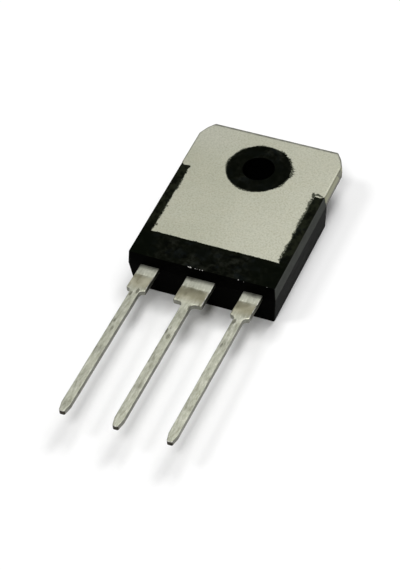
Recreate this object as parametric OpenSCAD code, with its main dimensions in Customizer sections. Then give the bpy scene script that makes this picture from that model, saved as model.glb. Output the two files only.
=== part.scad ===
// Power MOSFET in a three-lead TO-3P style package, millimetres.
// The part lies on its moulded front face, with the metal mounting face up.
// Origin: axis of the mounting hole, in the plane of the moulded front face.
// +X runs across the body towards the gate lead, +Y from the leads towards
// the tab, +Z from the moulded front face towards the metal face.

/* [Package] */
// Full thickness, front face to metal face
pkg_t = 4.8; // [4.6:0.1:5.0]
// Half width of the metal tab
tab_hw = 7.8; // [7.75:0.01:7.9]
// Distance from the hole axis to the end of the tab
tab_top = 4.9; // [4.7:0.1:5.1]
// Thickness of the metal tab and header
tab_t = 1.5; // [1.4:0.05:1.6]
// Width of each cut corner of the tab, across the part
tab_cut_x = 1.1; // [0.8:0.1:1.4]
// Length of each cut corner of the tab, along the part
tab_cut_y = 1.8; // [1.4:0.1:2.0]

/* [Moulded body] */
// Half width of the moulding at the parting line
body_hw = 7.8; // [7.75:0.01:7.9]
// Half width of the moulding at the metal face
body_back_hw = 7.72; // [7.6:0.01:7.74]
// Half width of the moulding at the front face
body_front_hw = 7.42; // [7.2:0.02:7.5]
// Distance from the hole axis to the lead end of the body, at the metal face
body_end = 14.9; // [14.6:0.1:15.2]
// How far the parting line stands out past the metal face at the lead end
end_bulge = 0.22; // [0.1:0.02:0.3]
// Height of the parting line above the front face
parting_z = 3.4; // [3.35:0.05:3.5]
// Distance from the hole axis to the shoulders of the moulding
shoulder = 1.2; // [1.0:0.1:1.4]
// Half width of the neck around the hole at the front
neck_hw = 4.8; // [4.5:0.1:5.1]
// Distance from the hole axis to the end of the neck
neck_top = 3.6; // [3.4:0.1:3.8]

/* [Mounting hole] */
// Diameter of the hole for the screw
hole_d = 3.2; // [3.1:0.05:3.4]
// Diameter of the moulded ring seen on the metal face
ring_d = 6.5; // [6.2:0.1:6.8]

/* [Exposed metal] */
// Half width of the bare metal between the moulded side strips
pad_hw = 6.8; // [6.6:0.1:6.9]
// Distance from the hole axis to the lead-side edge of the bare metal
pad_end = 11.58; // [11.4:0.02:11.8]
// Distance from the hole axis to the ends of the side strips
strip_end = 1.9; // [1.7:0.1:2.1]
// How far the header reaches under the moulding along its stepped edge
lock_w = 0.35; // [0.2:0.05:0.45]
// Depth of the bare part of the stepped edge
lock_z = 0.6; // [0.4:0.1:0.8]

/* [Leads] */
// Distance between lead centre lines
pitch = 5.45; // [5.4:0.01:5.5]
// Thickness of the lead stock
lead_t = 0.6; // [0.5:0.05:0.65]
// Height of the upper face of the leads where they leave the body
lead_z = 3.6; // [3.55:0.05:3.7]
// Width of the long, narrow part of each lead
lead_w = 0.96; // [0.9:0.02:1.1]
// Width of the wide part of the outer leads
outer_w = 2.0; // [1.8:0.1:2.2]
// Width of the wide part of the centre lead
centre_w = 3.0; // [2.8:0.1:3.2]
// Distance from the hole axis to the end of the wide parts
wide_end = 18.5; // [18.3:0.1:18.7]
// Distance from the hole axis to the lead tips
lead_end = 35.3; // [35.0:0.1:35.5]
// Width of the lead tips
tip_w = 0.6; // [0.4:0.05:0.8]

/* [Chip and wires] */
// Size of the chip along X
die_x = 6.8; // [6.0:0.1:7.4]
// Size of the chip along Y
die_y = 6.4; // [5.6:0.1:6.6]
// Thickness of the chip
die_t = 0.3; // [0.25:0.05:0.35]
// Thickness of the solder under the chip
solder_t = 0.06; // [0.04:0.01:0.08]
// Diameter of the source bond wires
source_wire_d = 0.4; // [0.3:0.02:0.5]
// Diameter of the gate bond wire
gate_wire_d = 0.2; // [0.15:0.01:0.25]

/* [Hidden] */
$fn = 64;
eps = 0.01;

// Heights of the inner faces.
header_z = pkg_t - tab_t;          // front side of the header
lead_low = lead_z - lead_t;        // front side of the leads inside the body
die_cy = -7.35;                    // centre of the chip along Y
die_low = header_z - solder_t - die_t; // bonded face of the chip
header_end = pad_end + lock_w;     // lead-side edge of the header inside
shelf_z = pkg_t - lock_z;          // underside of the stepped edge
tab_r = 0.55;                      // rounding where the tab widens
ease = 0.12;                       // eased corners at the lead end
neck_r = 0.45;                     // fillet between wide and narrow lead

// ---------------------------------------------------------------- body

// Section across the body: parting line widest, both halves drafted.
module body_section_x() {
    polygon([[-body_front_hw, 0], [body_front_hw, 0], [body_hw, parting_z],
             [body_back_hw, pkg_t], [-body_back_hw, pkg_t],
             [-body_hw, parting_z]]);
}

// Section along the body, drawn as [y, z]. The lead end is drafted both
// ways from the parting line.
module body_section_y() {
    polygon([[-body_end, 0], [tab_top, 0], [tab_top, pkg_t],
             [-body_end, pkg_t], [-body_end - end_bulge, parting_z]]);
}

// Plan of the body above the header's front side: the two side strips and
// the band at the lead end, with eased lead-end corners.
module body_plan() {
    e = body_end + end_bulge;
    polygon([[-body_hw, -e + ease], [-body_hw + ease, -e],
             [body_hw - ease, -e], [body_hw, -e + ease],
             [body_hw, -strip_end + tab_r], [-body_hw, -strip_end + tab_r]]);
}

// Prism along Y with the section drawn as [x, z].
module along_y(y0, y1) {
    translate([0, y1, 0]) rotate([90, 0, 0]) linear_extrude(y1 - y0) children();
}

// Prism along X with the section drawn as [y, z].
module along_x(x0, x1) {
    translate([x0, 0, 0]) rotate([90, 0, 90]) linear_extrude(x1 - x0) children();
}

// Full-width block of the moulding.
module body_block() {
    intersection() {
        along_y(-body_end - 1, tab_top) body_section_x();
        along_x(-body_hw - 1, body_hw + 1) body_section_y();
        linear_extrude(pkg_t) body_plan();
    }
}

// Front half beside and above the shoulders: block up to the shoulder
// line, sloping shoulders and the neck around the hole.
module front_plan() {
    e = body_end + end_bulge;
    polygon([[-body_hw, -e + ease], [-body_hw + ease, -e],
             [body_hw - ease, -e], [body_hw, -e + ease],
             [body_hw, -shoulder],
             [body_hw - 0.5, -shoulder + 0.25],
             [neck_hw + 0.35, 0.7], [neck_hw, 1.3], [neck_hw, neck_top - 1.0],
             [neck_hw - 1.0, neck_top], [-neck_hw + 1.0, neck_top],
             [-neck_hw, neck_top - 1.0], [-neck_hw, 1.3],
             [-neck_hw - 0.35, 0.7], [-body_hw + 0.5, -shoulder + 0.25],
             [-body_hw, -shoulder]]);
}

// The end of the neck leans in towards the front face, for release.
module neck_section_y() {
    polygon([[-body_end - 2, 0], [neck_top - 0.4, 0], [neck_top, header_z],
             [-body_end - 2, header_z]]);
}

module front_block() {
    intersection() {
        along_y(-body_end - 1, tab_top) body_section_x();
        along_x(-body_hw - 1, body_hw + 1) body_section_y();
        along_x(-body_hw - 1, body_hw + 1) neck_section_y();
        linear_extrude(header_z) front_plan();
    }
}

module moulded_body() {
    color([0.07, 0.07, 0.07])
    difference() {
        union() {
            front_block();
            intersection() {
                body_block();
                translate([0, 0, header_z])
                    along_y(-body_end - 1, tab_top)
                        translate([-body_hw - 1, 0])
                            square([2 * body_hw + 2, tab_t]);
            }
            // lining of the hole through the tab
            translate([0, 0, header_z - eps])
                cylinder(d = ring_d, h = tab_t + eps);
        }
        // hole for the mounting screw
        translate([0, 0, -1]) cylinder(d = hole_d, h = pkg_t + 2);
        // shallow mark left by the ejector pin
        translate([0, -10.6, -1]) cylinder(d = 2.4, h = 1.08);
        // room for everything that is moulded in
        header_shape();
        lead_shape(centre_w, true);
        lead_inner_centre();
        translate([-pitch, 0, 0]) lead_shape(outer_w, false);
        source_post();
        translate([pitch, 0, 0]) lead_shape(outer_w, false);
        gate_post();
        solder_shape();
        die_shape();
        for (i = [0:2]) source_wire_shape(i);
        gate_wire_shape();
    }
}

// --------------------------------------------------------- drain frame

// Plan of the header and tab at the metal face.
module tab_plan() {
    x1 = tab_hw;
    union() {
        // bare metal between the strips, and the full-width tab
        polygon([[-pad_hw, -pad_end], [pad_hw, -pad_end],
                 [pad_hw, -strip_end], [x1 - tab_r, -strip_end],
                 [x1, -strip_end + tab_r],
                 [x1, tab_top - tab_cut_y],
                 [x1 - 0.42 * tab_cut_x, tab_top - 0.46 * tab_cut_y],
                 [x1 - tab_cut_x, tab_top],
                 [-x1 + tab_cut_x, tab_top],
                 [-x1 + 0.42 * tab_cut_x, tab_top - 0.46 * tab_cut_y],
                 [-x1, tab_top - tab_cut_y],
                 [-x1, -strip_end + tab_r], [-x1 + tab_r, -strip_end],
                 [-pad_hw, -strip_end]]);
        // rounded inner corners of the wide part
        for (s = [-1, 1])
            translate([s * (x1 - tab_r), -strip_end + tab_r])
                circle(r = tab_r, $fn = 48);
    }
}

// The header is wider under the moulding than at its bare face, so the
// strips and the band hold it.
module header_shape() {
    difference() {
        union() {
            translate([0, 0, header_z]) linear_extrude(tab_t) tab_plan();
            translate([0, 0, header_z]) linear_extrude(tab_t - lock_z)
                polygon([[-pad_hw - lock_w, -header_end],
                         [pad_hw + lock_w, -header_end],
                         [pad_hw + lock_w, -strip_end],
                         [-pad_hw - lock_w, -strip_end]]);
        }
        // stepped hole that the lining of the screw hole fills
        translate([0, 0, shelf_z]) cylinder(d = ring_d, h = lock_z + 1);
        translate([0, 0, header_z - 1])
            cylinder(d = ring_d - 2 * lock_w, h = tab_t + 2);
    }
}

// Strip that joins the header to the centre lead, inside the body.
module lead_inner_centre() {
    along_x(-centre_w / 2, centre_w / 2)
        polygon([[-body_end + 0.4, lead_low], [-header_end - 0.5, lead_low],
                 [-header_end, header_z], [-header_end + 0.6, header_z],
                 [-header_end, header_z + 0.65],
                 [-header_end - 0.5, lead_z],
                 [-body_end + 0.4, lead_z]]);
}

module drain_frame() {
    color([0.72, 0.72, 0.66])
    difference() {
        union() {
            header_shape();
            lead_inner_centre();
            lead_shape(centre_w, true);
        }
        // the joining strip stops at the header
        translate([0, 0, header_z - 5]) cylinder(d = ring_d - 2 * lock_w, h = 5);
    }
}

// ---------------------------------------------------------------- leads

// Side view of a lead, drawn as [y, z]: flat where it leaves the body, a
// pressed dish along the wide part, then a long run that rises a little.
module lead_side() {
    t = lead_t;
    z = lead_z;
    y0 = -body_end + 0.4;
    top = [[y0, z], [-16.35, z], [-16.9, z + 0.06], [-17.6, z + 0.12],
           [-18.3, z + 0.155], [-19.4, z + 0.18], [-27, z + 0.4],
           [-lead_end - 0.1, z + 0.63]];
    n = len(top);
    polygon(concat(top, [for (i = [n - 1:-1:0]) [top[i][0], top[i][1] - t]]));
}

// Plan of a lead about its own centre line.
module lead_plan(w) {
    y0 = -body_end + 0.4;
    h = w / 2;
    q = lead_w / 2;
    union() {
        difference() {
            polygon([[-h, y0], [h, y0], [h, -wide_end + 0.1],
                     [h - 0.1, -wide_end],
                     [q + neck_r, -wide_end], [q, -wide_end - neck_r],
                     [q, -lead_end + 1.0], [tip_w / 2, -lead_end + 0.12],
                     [tip_w / 2 - 0.12, -lead_end],
                     [-tip_w / 2 + 0.12, -lead_end],
                     [-tip_w / 2, -lead_end + 0.12], [-q, -lead_end + 1.0],
                     [-q, -wide_end - neck_r], [-q - neck_r, -wide_end],
                     [-h + 0.1, -wide_end], [-h, -wide_end + 0.1]]);
            // punched fillets between the wide and the narrow part
            for (s = [-1, 1])
                translate([s * (q + neck_r), -wide_end - neck_r])
                    circle(r = neck_r, $fn = 48);
        }
    }
}

// Lead from just inside the body to its tip.
module lead_shape(w, centre) {
    intersection() {
        along_x(-w / 2 - 1, w / 2 + 1) lead_side();
        translate([0, 0, lead_low - 1]) linear_extrude(4) lead_plan(w);
    }
}

// Inner end of the source lead: a wide post for the thick wires, with a
// notch on each side that locks it in the moulding.
module source_post() {
    translate([0, 0, lead_low]) linear_extrude(lead_t)
        difference() {
            polygon([[-pitch - 1.0, -body_end + 0.4],
                     [-pitch + 1.0, -body_end + 0.4],
                     [-pitch + 1.0, -14.0], [-2.4, -14.0], [-2.4, -12.5],
                     [-6.9, -12.5], [-6.9, -14.0], [-pitch - 1.0, -14.0]]);
            for (s = [-1, 1])
                translate([-pitch + s * 1.0, -14.3]) square([0.5, 0.3], center = true);
        }
}

// Inner end of the gate lead: a smaller post for one thin wire.
module gate_post() {
    translate([0, 0, lead_low]) linear_extrude(lead_t)
        difference() {
            polygon([[pitch - 1.0, -body_end + 0.4],
                     [pitch + 1.0, -body_end + 0.4],
                     [pitch + 1.0, -14.0], [6.9, -14.0], [6.9, -12.5],
                     [3.6, -12.5], [3.6, -14.0], [pitch - 1.0, -14.0]]);
            for (s = [-1, 1])
                translate([pitch + s * 1.0, -14.3]) square([0.5, 0.3], center = true);
        }
}

module source_lead() {
    color([0.72, 0.72, 0.68])
    union() {
        translate([-pitch, 0, 0]) lead_shape(outer_w, false);
        source_post();
    }
}

module gate_lead() {
    color([0.72, 0.72, 0.68])
    union() {
        translate([pitch, 0, 0]) lead_shape(outer_w, false);
        gate_post();
    }
}

// ------------------------------------------------------- chip and wires

module solder_shape() {
    translate([-die_x / 2 - 0.15, die_cy - die_y / 2 - 0.15, header_z - solder_t])
        cube([die_x + 0.3, die_y + 0.3, solder_t]);
}

module die_solder() {
    color([0.62, 0.62, 0.64]) solder_shape();
}

module die_shape() {
    translate([-die_x / 2, die_cy - die_y / 2, die_low])
        cube([die_x, die_y, die_t]);
}

module silicon_die() {
    color([0.3, 0.33, 0.38]) die_shape();
}

// A bond wire: one arc that dips towards the front face, from a on the chip
// to b on the post, with a flat pressed foot at each end. The arc is cut off
// level with the surface that it is bonded to.
module bond_wire(a, b, d, dip, foot) {
    v = [b[0] - a[0], b[1] - a[1]];
    c = norm(v);
    turn = atan2(v[1], v[0]);
    r = d / 2;
    z = min(a[2], b[2]) - 0.4 * d;
    ra = (c * c / 4 + dip * dip) / (2 * dip);
    half = asin(c / 2 / ra) + 11;
    w = 1.35 * d;
    h = 0.4 * d;
    translate([a[0], a[1], 0]) rotate([0, 0, turn]) {
        difference() {
            translate([c / 2, 0, z + ra - dip])
                rotate([90, 0, 0]) rotate([0, 0, -90 - half])
                    rotate_extrude(angle = 2 * half, $fn = 48)
                        translate([ra, 0]) circle(r = r, $fn = 24);
            translate([-c, -1, a[2]]) cube([c * 1.5, 2, 2]);
            translate([c / 2, -1, b[2]]) cube([c * 1.5, 2, 2]);
        }
        translate([-foot, -w / 2, a[2] - h]) cube([foot + h, w, h]);
        translate([c - h, -w / 2, b[2] - h]) cube([foot + h, w, h]);
    }
}

// Ends of the source wires on the chip and on the post.
source_from = [[-2.3, -8.2], [-0.9, -7.6], [0.5, -7.0]];
source_to = [[-5.9, -13.1], [-4.7, -13.1], [-3.5, -13.1]];

module source_wire_shape(i) {
    bond_wire([source_from[i][0], source_from[i][1], die_low],
              [source_to[i][0], source_to[i][1], lead_low],
              source_wire_d, 1.1, 0.5);
}

module gate_wire_shape() {
    bond_wire([2.5, -9.6, die_low], [5.0, -13.1, lead_low],
              gate_wire_d, 0.8, 0.35);
}

module source_wire_1() { color([0.8, 0.8, 0.82]) source_wire_shape(0); }
module source_wire_2() { color([0.8, 0.8, 0.82]) source_wire_shape(1); }
module source_wire_3() { color([0.8, 0.8, 0.82]) source_wire_shape(2); }
module gate_wire() { color([0.8, 0.8, 0.82]) gate_wire_shape(); }

moulded_body();
drain_frame();
source_lead();
gate_lead();
die_solder();
silicon_die();
source_wire_1();
source_wire_2();
source_wire_3();
gate_wire();
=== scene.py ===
import math
import random

import bmesh
import bpy
from mathutils import Matrix, Vector, noise
from mathutils.geometry import tessellate_polygon


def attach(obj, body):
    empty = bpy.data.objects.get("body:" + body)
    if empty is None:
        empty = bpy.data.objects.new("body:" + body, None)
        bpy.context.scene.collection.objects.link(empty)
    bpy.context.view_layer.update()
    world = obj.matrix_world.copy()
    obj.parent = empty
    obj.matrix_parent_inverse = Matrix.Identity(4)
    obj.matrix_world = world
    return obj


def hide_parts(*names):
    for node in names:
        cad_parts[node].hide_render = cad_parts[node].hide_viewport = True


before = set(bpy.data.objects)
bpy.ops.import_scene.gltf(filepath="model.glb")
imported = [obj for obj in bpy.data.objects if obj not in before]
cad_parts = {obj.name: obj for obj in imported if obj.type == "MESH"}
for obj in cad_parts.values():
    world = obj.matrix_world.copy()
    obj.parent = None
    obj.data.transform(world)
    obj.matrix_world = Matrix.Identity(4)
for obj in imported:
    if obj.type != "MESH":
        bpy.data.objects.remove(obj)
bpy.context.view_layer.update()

# Meshes are worked out in millimetres in the CAD frame, and scaled to metres
# when they are finished: +X to the gate lead, +Y from the leads to the tab,
# +Z from the moulded face to the metal face.
MM = 0.001
scene = bpy.context.scene

PITCH = 5.45
Z_METAL = 4.784          # metal face; the moulding's film lies on it up to 4.8
Z_TOP = 4.8
HEADER_Z = 3.3
PARTING = 3.4


# ------------------------------------------------------------------ meshes

def new_obj(name, verts, faces):
    me = bpy.data.meshes.new(name)
    me.from_pydata([tuple(v) for v in verts], [], faces)
    me.validate()
    me.update()
    ob = bpy.data.objects.new(name, me)
    scene.collection.objects.link(ob)
    return ob


def drop(ob):
    me = ob.data
    bpy.data.objects.remove(ob)
    if me.users == 0:
        bpy.data.meshes.remove(me)


def boolean(a, b, op):
    mod = a.modifiers.new("cut", "BOOLEAN")
    mod.operation = op
    mod.solver = "EXACT"
    mod.object = b
    dg = bpy.context.evaluated_depsgraph_get()
    dg.update()
    me = bpy.data.meshes.new_from_object(a.evaluated_get(dg))
    a.modifiers.clear()
    old = a.data
    a.data = me
    bpy.data.meshes.remove(old)
    drop(b)
    return a


def cut(a, b):
    return boolean(a, b, "DIFFERENCE")


def join(a, b):
    return boolean(a, b, "UNION")


def offset_corners(pts, d):
    """Corners of a counter-clockwise polygon with each edge moved in by d."""
    n = len(pts)
    lines = []
    for i in range(n):
        p = Vector(pts[i])
        t = (Vector(pts[(i + 1) % n]) - p).normalized()
        lines.append((p + Vector((-t.y, t.x)) * d[i], t))
    out = []
    for i in range(n):
        p1, t1 = lines[i - 1]
        p2, t2 = lines[i]
        cr = t1.x * t2.y - t1.y * t2.x
        if abs(cr) < 1e-6:
            out.append(p2.copy())
        else:
            s = ((p2.x - p1.x) * t2.y - (p2.y - p1.y) * t2.x) / cr
            out.append(p1 + t1 * s)
    return out


def rounded(pts, radii, arcs, runs=None):
    """Outline with each corner rounded: the same point count at any size."""
    n = len(pts)
    ends = []
    for i in range(n):
        p = Vector(pts[i])
        a = (p - Vector(pts[i - 1])).normalized()
        b = (Vector(pts[(i + 1) % n]) - p).normalized()
        turn = math.atan2(a.x * b.y - a.y * b.x, a.dot(b))
        k = arcs[i]
        if k == 0:
            ends.append([p])
            continue
        r = max(radii[i], 0.004)
        t = r * math.tan(abs(turn) / 2)
        s = 1 if turn > 0 else -1
        start = p - a * t
        c = start + Vector((-a.y, a.x)) * (r * s)
        ray = start - c
        arc = []
        for j in range(k + 1):
            w = turn * j / k
            arc.append(c + Vector((ray.x * math.cos(w) - ray.y * math.sin(w),
                                   ray.x * math.sin(w) + ray.y * math.cos(w))))
        ends.append(arc)
    out = []
    for i in range(n):
        out.extend(ends[i])
        m = runs[i] if runs else 1
        p, q = ends[i][-1], ends[(i + 1) % n][0]
        for j in range(1, m):
            out.append(p.lerp(q, j / m))
    return out


def loft(name, levels):
    """Closed solid through outlines of the same point count.

    levels: (z or list of z, points), from the lowest up."""
    verts, faces = [], []
    n = len(levels[0][1])
    for z, pts in levels:
        for i, p in enumerate(pts):
            verts.append((p[0], p[1], z[i] if isinstance(z, list) else z))
    for k in range(len(levels) - 1):
        for i in range(n):
            j = (i + 1) % n
            faces.append((k * n + i, k * n + j, (k + 1) * n + j, (k + 1) * n + i))
    faces.append(tuple(reversed(range(n))))
    faces.append(tuple(range((len(levels) - 1) * n, len(levels) * n)))
    return new_obj(name, verts, faces)


def slab(name, outer, z0, z1, holes=()):
    """Prism of a counter-clockwise plan, with round or jagged holes."""
    loops = [[Vector((p[0], p[1], 0)) for p in outer]]
    loops += [[Vector((p[0], p[1], 0)) for p in h] for h in holes]
    flat = [p for lp in loops for p in lp]
    tris = tessellate_polygon(loops)
    n = len(flat)
    verts = [(p.x, p.y, z0) for p in flat] + [(p.x, p.y, z1) for p in flat]
    faces = []
    for a, b, c in tris:
        pa, pb, pc = flat[a], flat[b], flat[c]
        area = (pb.x - pa.x) * (pc.y - pa.y) - (pb.y - pa.y) * (pc.x - pa.x)
        if abs(area) < 1e-12:
            continue
        if area < 0:
            b, c = c, b
        faces.append((a + n, b + n, c + n))
        faces.append((a, c, b))
    at = 0
    for lp in loops:
        m = len(lp)
        turn = sum(lp[i].x * lp[(i + 1) % m].y - lp[i].y * lp[(i + 1) % m].x
                   for i in range(m))
        outside = lp is loops[0]
        for i in range(m):
            j = (i + 1) % m
            q = (at + i, at + j, at + j + n, at + i + n)
            if (turn > 0) != outside:
                q = tuple(reversed(q))
            faces.append(q)
        at += m
    ob = new_obj(name, verts, faces)
    bm = bmesh.new()
    bm.from_mesh(ob.data)
    bmesh.ops.recalc_face_normals(bm, faces=bm.faces)
    bm.to_mesh(ob.data)
    bm.free()
    return ob


def ring_points(r, n, jag=None):
    out = []
    for i in range(n):
        a = 2 * math.pi * i / n
        rr = r + (jag[i] if jag else 0)
        out.append((rr * math.cos(a), rr * math.sin(a)))
    return out


def revolve(name, profile, n=96):
    """Closed solid of revolution about Z; profile is (r, z) from the lowest
    point up, and its ends are capped."""
    levels = [(z, [Vector(p) for p in ring_points(r, n)]) for r, z in profile]
    return loft(name, levels)


def node_copy(name):
    """A CAD node's mesh as a new object in millimetres."""
    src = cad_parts[name]
    me = src.data.copy()
    me.transform(src.matrix_world)
    me.transform(Matrix.Scale(1000.0, 4))
    me.materials.clear()
    ob = bpy.data.objects.new("tmp_" + name, me)
    scene.collection.objects.link(ob)
    bm = bmesh.new()
    bm.from_mesh(me)
    bmesh.ops.remove_doubles(bm, verts=bm.verts, dist=1e-5)
    bm.to_mesh(me)
    bm.free()
    return ob


def finish_mesh(ob, angle=28.0, dissolve=True):
    """Millimetres to metres, clean faces and shading by angle."""
    bm = bmesh.new()
    bm.from_mesh(ob.data)
    bmesh.ops.remove_doubles(bm, verts=bm.verts, dist=2e-5)
    bmesh.ops.dissolve_degenerate(bm, dist=2e-5, edges=bm.edges)
    if dissolve:
        bmesh.ops.dissolve_limit(bm, angle_limit=math.radians(0.05),
                                 verts=bm.verts, edges=bm.edges,
                                 delimit={"MATERIAL"})
        bmesh.ops.triangulate(bm, faces=[f for f in bm.faces if len(f.verts) > 4])
    bm.normal_update()
    for f in bm.faces:
        f.smooth = True
    bm.to_mesh(ob.data)
    bm.free()
    ob.data.transform(Matrix.Scale(MM, 4))
    shade(ob, angle)
    ob.data.update()
    return ob


def shade(ob, angle):
    """Custom normals: flat areas stay flat and small roundings blend in, so
    each corner's normal is weighted by the whole flat area that it is on."""
    bm = bmesh.new()
    bm.from_mesh(ob.data)
    bm.faces.ensure_lookup_table()
    n = len(bm.faces)
    root = list(range(n))

    def find(i):
        while root[i] != i:
            root[i] = root[root[i]]
            i = root[i]
        return i

    same = math.cos(math.radians(0.25))
    for e in bm.edges:
        if len(e.link_faces) == 2:
            f, g = e.link_faces
            if f.normal.dot(g.normal) > same:
                root[find(f.index)] = find(g.index)
    size = {}
    for f in bm.faces:
        r = find(f.index)
        size[r] = size.get(r, 0.0) + f.calc_area()
    near = math.cos(math.radians(angle))
    normals = [None] * sum(len(f.verts) for f in bm.faces)
    at = 0
    for f in bm.faces:
        for v in f.verts:
            seen, total = set(), Vector((0, 0, 0))
            for g in v.link_faces:
                r = find(g.index)
                if r in seen or f.normal.dot(g.normal) < near:
                    continue
                seen.add(r)
                total += g.normal * (size[r] * 1e6 + 1e-9)
            normals[at] = total.normalized() if total.length > 0 else f.normal.copy()
            at += 1
    bm.free()
    ob.data.normals_split_custom_set([tuple(v) for v in normals])


# ------------------------------------------------------- ragged mould flash

def teeth(length, step, rng, low, high, spike, chance):
    """Offsets along an edge: a low ragged line with spikes now and then."""
    n = max(3, int(length / step))
    out = []
    for i in range(n + 1):
        v = rng.uniform(low, high)
        if rng.random() < chance:
            v += rng.uniform(0.4, 1.0) * spike
        out.append((i / n, v))
    out[0] = (0.0, low)
    out[-1] = (1.0, low)
    return out


def ragged(p, q, side, spec):
    """Points from p to q, pushed towards side by the given offsets."""
    p, q = Vector(p), Vector(q)
    return [p.lerp(q, t) + Vector(side) * v for t, v in spec]


# ---------------------------------------------------------------- moulding

def case_corners(z):
    """Plan corners of the moulding at a height, and their rounding."""
    if z <= PARTING:
        u = z / PARTING
        xs = 7.42 + (7.799 - 7.42) * u
        ye = 14.90 + (15.12 - 14.90) * u
    else:
        u = (z - PARTING) / (Z_TOP - PARTING)
        xs = 7.799 - 0.08 * u
        ye = 15.12 - 0.22 * u
    yn = 3.2 + 0.4 * min(z, HEADER_Z) / HEADER_Z
    ysh = -1.2 + (7.8 - xs) * 0.5
    right = [(xs, -ye), (xs, ysh), (7.0, -0.72), (5.15, 0.7), (4.8, 1.3),
             (4.8, 2.6), (3.8 + 3.6 - yn, yn)]
    left = [(-x, y) for x, y in reversed(right)]
    pts = right + left
    r = [0.13, 0.22, 0.5, 0.5, 0.5, 0.35, 0.35]
    k = [6, 4, 0, 3, 3, 4, 4]
    return pts, r + list(reversed(r)), k + list(reversed(k))


def case_outline(z, d):
    pts, r, k = case_corners(z)
    pts = offset_corners(pts, [d] * len(pts))
    # convex corners shrink with the inset, hollow ones grow
    rr = []
    n = len(pts)
    for i in range(n):
        a = Vector(pts[i]) - Vector(pts[i - 1])
        b = Vector(pts[(i + 1) % n]) - Vector(pts[i])
        s = -1 if a.x * b.y - a.y * b.x > 0 else 1
        rr.append(max(r[i] + s * d, 0.02))
    return rounded(pts, rr, k)


def make_case():
    rng = random.Random(11)
    low, high = 0.12, 0.08
    levels = []
    for i in range(6):
        a = math.radians(90 * i / 5)
        levels.append((low * (1 - math.cos(a)),
                       case_outline(low * (1 - math.cos(a)), low * (1 - math.sin(a)))))
    levels.append((PARTING - 0.03, case_outline(PARTING - 0.03, 0.0)))
    levels.append((PARTING, case_outline(PARTING, 0.0)))
    levels.append((PARTING + 0.03, case_outline(PARTING + 0.03, 0.0)))
    for i in range(6):
        a = math.radians(90 * i / 5)
        z = Z_TOP - high * (1 - math.sin(a))
        levels.append((z, case_outline(z, high * (1 - math.cos(a)))))
    case = loft("case", levels)

    # Opening in the film on the metal face: ragged along the strips, finer
    # along the band, plain where only the tab is.
    film = []
    bl, br = (-6.80, -11.58), (6.80, -11.58)
    film += ragged(bl, br, (0, 1), teeth(13.6, 0.095, rng, -0.02, 0.06, 0.09, 0.20))[1:-1]
    film += [(6.80, -11.58)]
    film += ragged(br, (6.80, -1.90), (-1, 0), teeth(9.68, 0.095, rng, -0.04, 0.05, 0.13, 0.24))[1:-1]
    film += [(6.72, -1.86), (6.86, -1.84), (6.97, -1.90), (7.10, -1.87), (7.25, -1.90)]
    for i in range(1, 9):
        a = math.radians(-90 + 90 * i / 8)
        film.append((7.25 + 0.55 * math.cos(a), -1.35 + 0.55 * math.sin(a)))
    film += [(9, -1.35), (9, 6), (-9, 6), (-9, -1.35)]
    for i in range(0, 8):
        a = math.radians(180 + 90 * i / 8)
        film.append((-7.25 + 0.55 * math.cos(a), -1.35 + 0.55 * math.sin(a)))
    film += [(-7.25, -1.87), (-7.05, -1.815), (-6.90, -1.79), (-6.76, -1.80),
             (-6.66, -1.86), (-6.64, -1.98), (-6.68, -2.12), (-6.74, -2.24)]
    film += ragged((-6.80, -2.3), bl, (1, 0), teeth(9.3, 0.095, rng, -0.03, 0.07, 0.13, 0.24))[1:-1]
    film += [(-6.80, -11.58)]
    n = 260
    jag = []
    for i in range(n):
        a = 360 * i / n
        spiky = 0.5 + 0.5 * math.cos(math.radians(a - 40))   # top and right side
        v = rng.uniform(-0.03, 0.045 + 0.03 * spiky)
        if rng.random() < 0.20 + 0.12 * spiky:
            v += rng.uniform(0.05, 0.14 + 0.06 * spiky)
        jag.append(v)
    ring = ring_points(3.25, n, jag)
    case = cut(case, slab("film", film, Z_METAL, 5.4, [ring]))

    arc = [(7.25 + 0.55 * math.cos(math.radians(-90 + 90 * i / 8)),
            -1.35 + 0.55 * math.sin(math.radians(-90 + 90 * i / 8))) for i in range(1, 9)]
    side = [(7.25, -1.90)] + arc + [(9, -1.35), (9, 6)]
    mirror = [(-x, y) for x, y in reversed(side)]
    mid = [(-6.8, -11.58), (6.8, -11.58), (6.8, -1.90)] + side + mirror + [(-6.8, -1.90)]
    case = cut(case, slab("mid", mid, 4.19, Z_METAL + 0.001, [ring_points(3.25, 96)]))
    low = [(-7.15, -11.93), (7.15, -11.93), (7.15, -1.90)] + side + mirror + [(-7.15, -1.90)]
    case = cut(case, slab("low", low, HEADER_Z, 4.2, [ring_points(2.9, 96)]))

    # screw hole with an eased rim at both faces
    e = 0.05
    prof = [(1.6 + e + 0.2, -0.2), (1.6 + e, 0.0)]
    for i in range(1, 5):
        a = math.radians(90 * i / 4)
        prof.append((1.6 + e * (1 - math.sin(a)), e * (1 - math.cos(a))))
    for i in range(0, 4):
        a = math.radians(90 * i / 4)
        prof.append((1.6 + e * (1 - math.cos(a)), Z_TOP - e * (1 - math.sin(a))))
    prof += [(1.6 + e, Z_TOP), (1.6 + e + 0.2, Z_TOP + 0.2)]
    case = cut(case, revolve("bore", prof))
    # mark of the ejector pin, with a soft rim
    pin = revolve("pin", [(1.24, -0.3), (1.24, 0.0), (1.20, 0.04), (1.17, 0.08)], 64)
    pin.data.transform(Matrix.Translation((0, -10.6, 0)))
    case = cut(case, pin)

    # room for the lead frame, the chip and the wires
    slot = slab("slot", [(-1.5, -16), (1.5, -16), (1.5, -12.2), (-1.5, -12.2)], 3.0, 3.6)
    case = cut(case, slot)
    for n_ in ("source_lead", "gate_lead", "die_solder", "silicon_die",
               "source_wire_1", "source_wire_2", "source_wire_3", "gate_wire"):
        case = cut(case, node_copy(n_))
    return case


# ------------------------------------------------------------- metal pieces

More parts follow.
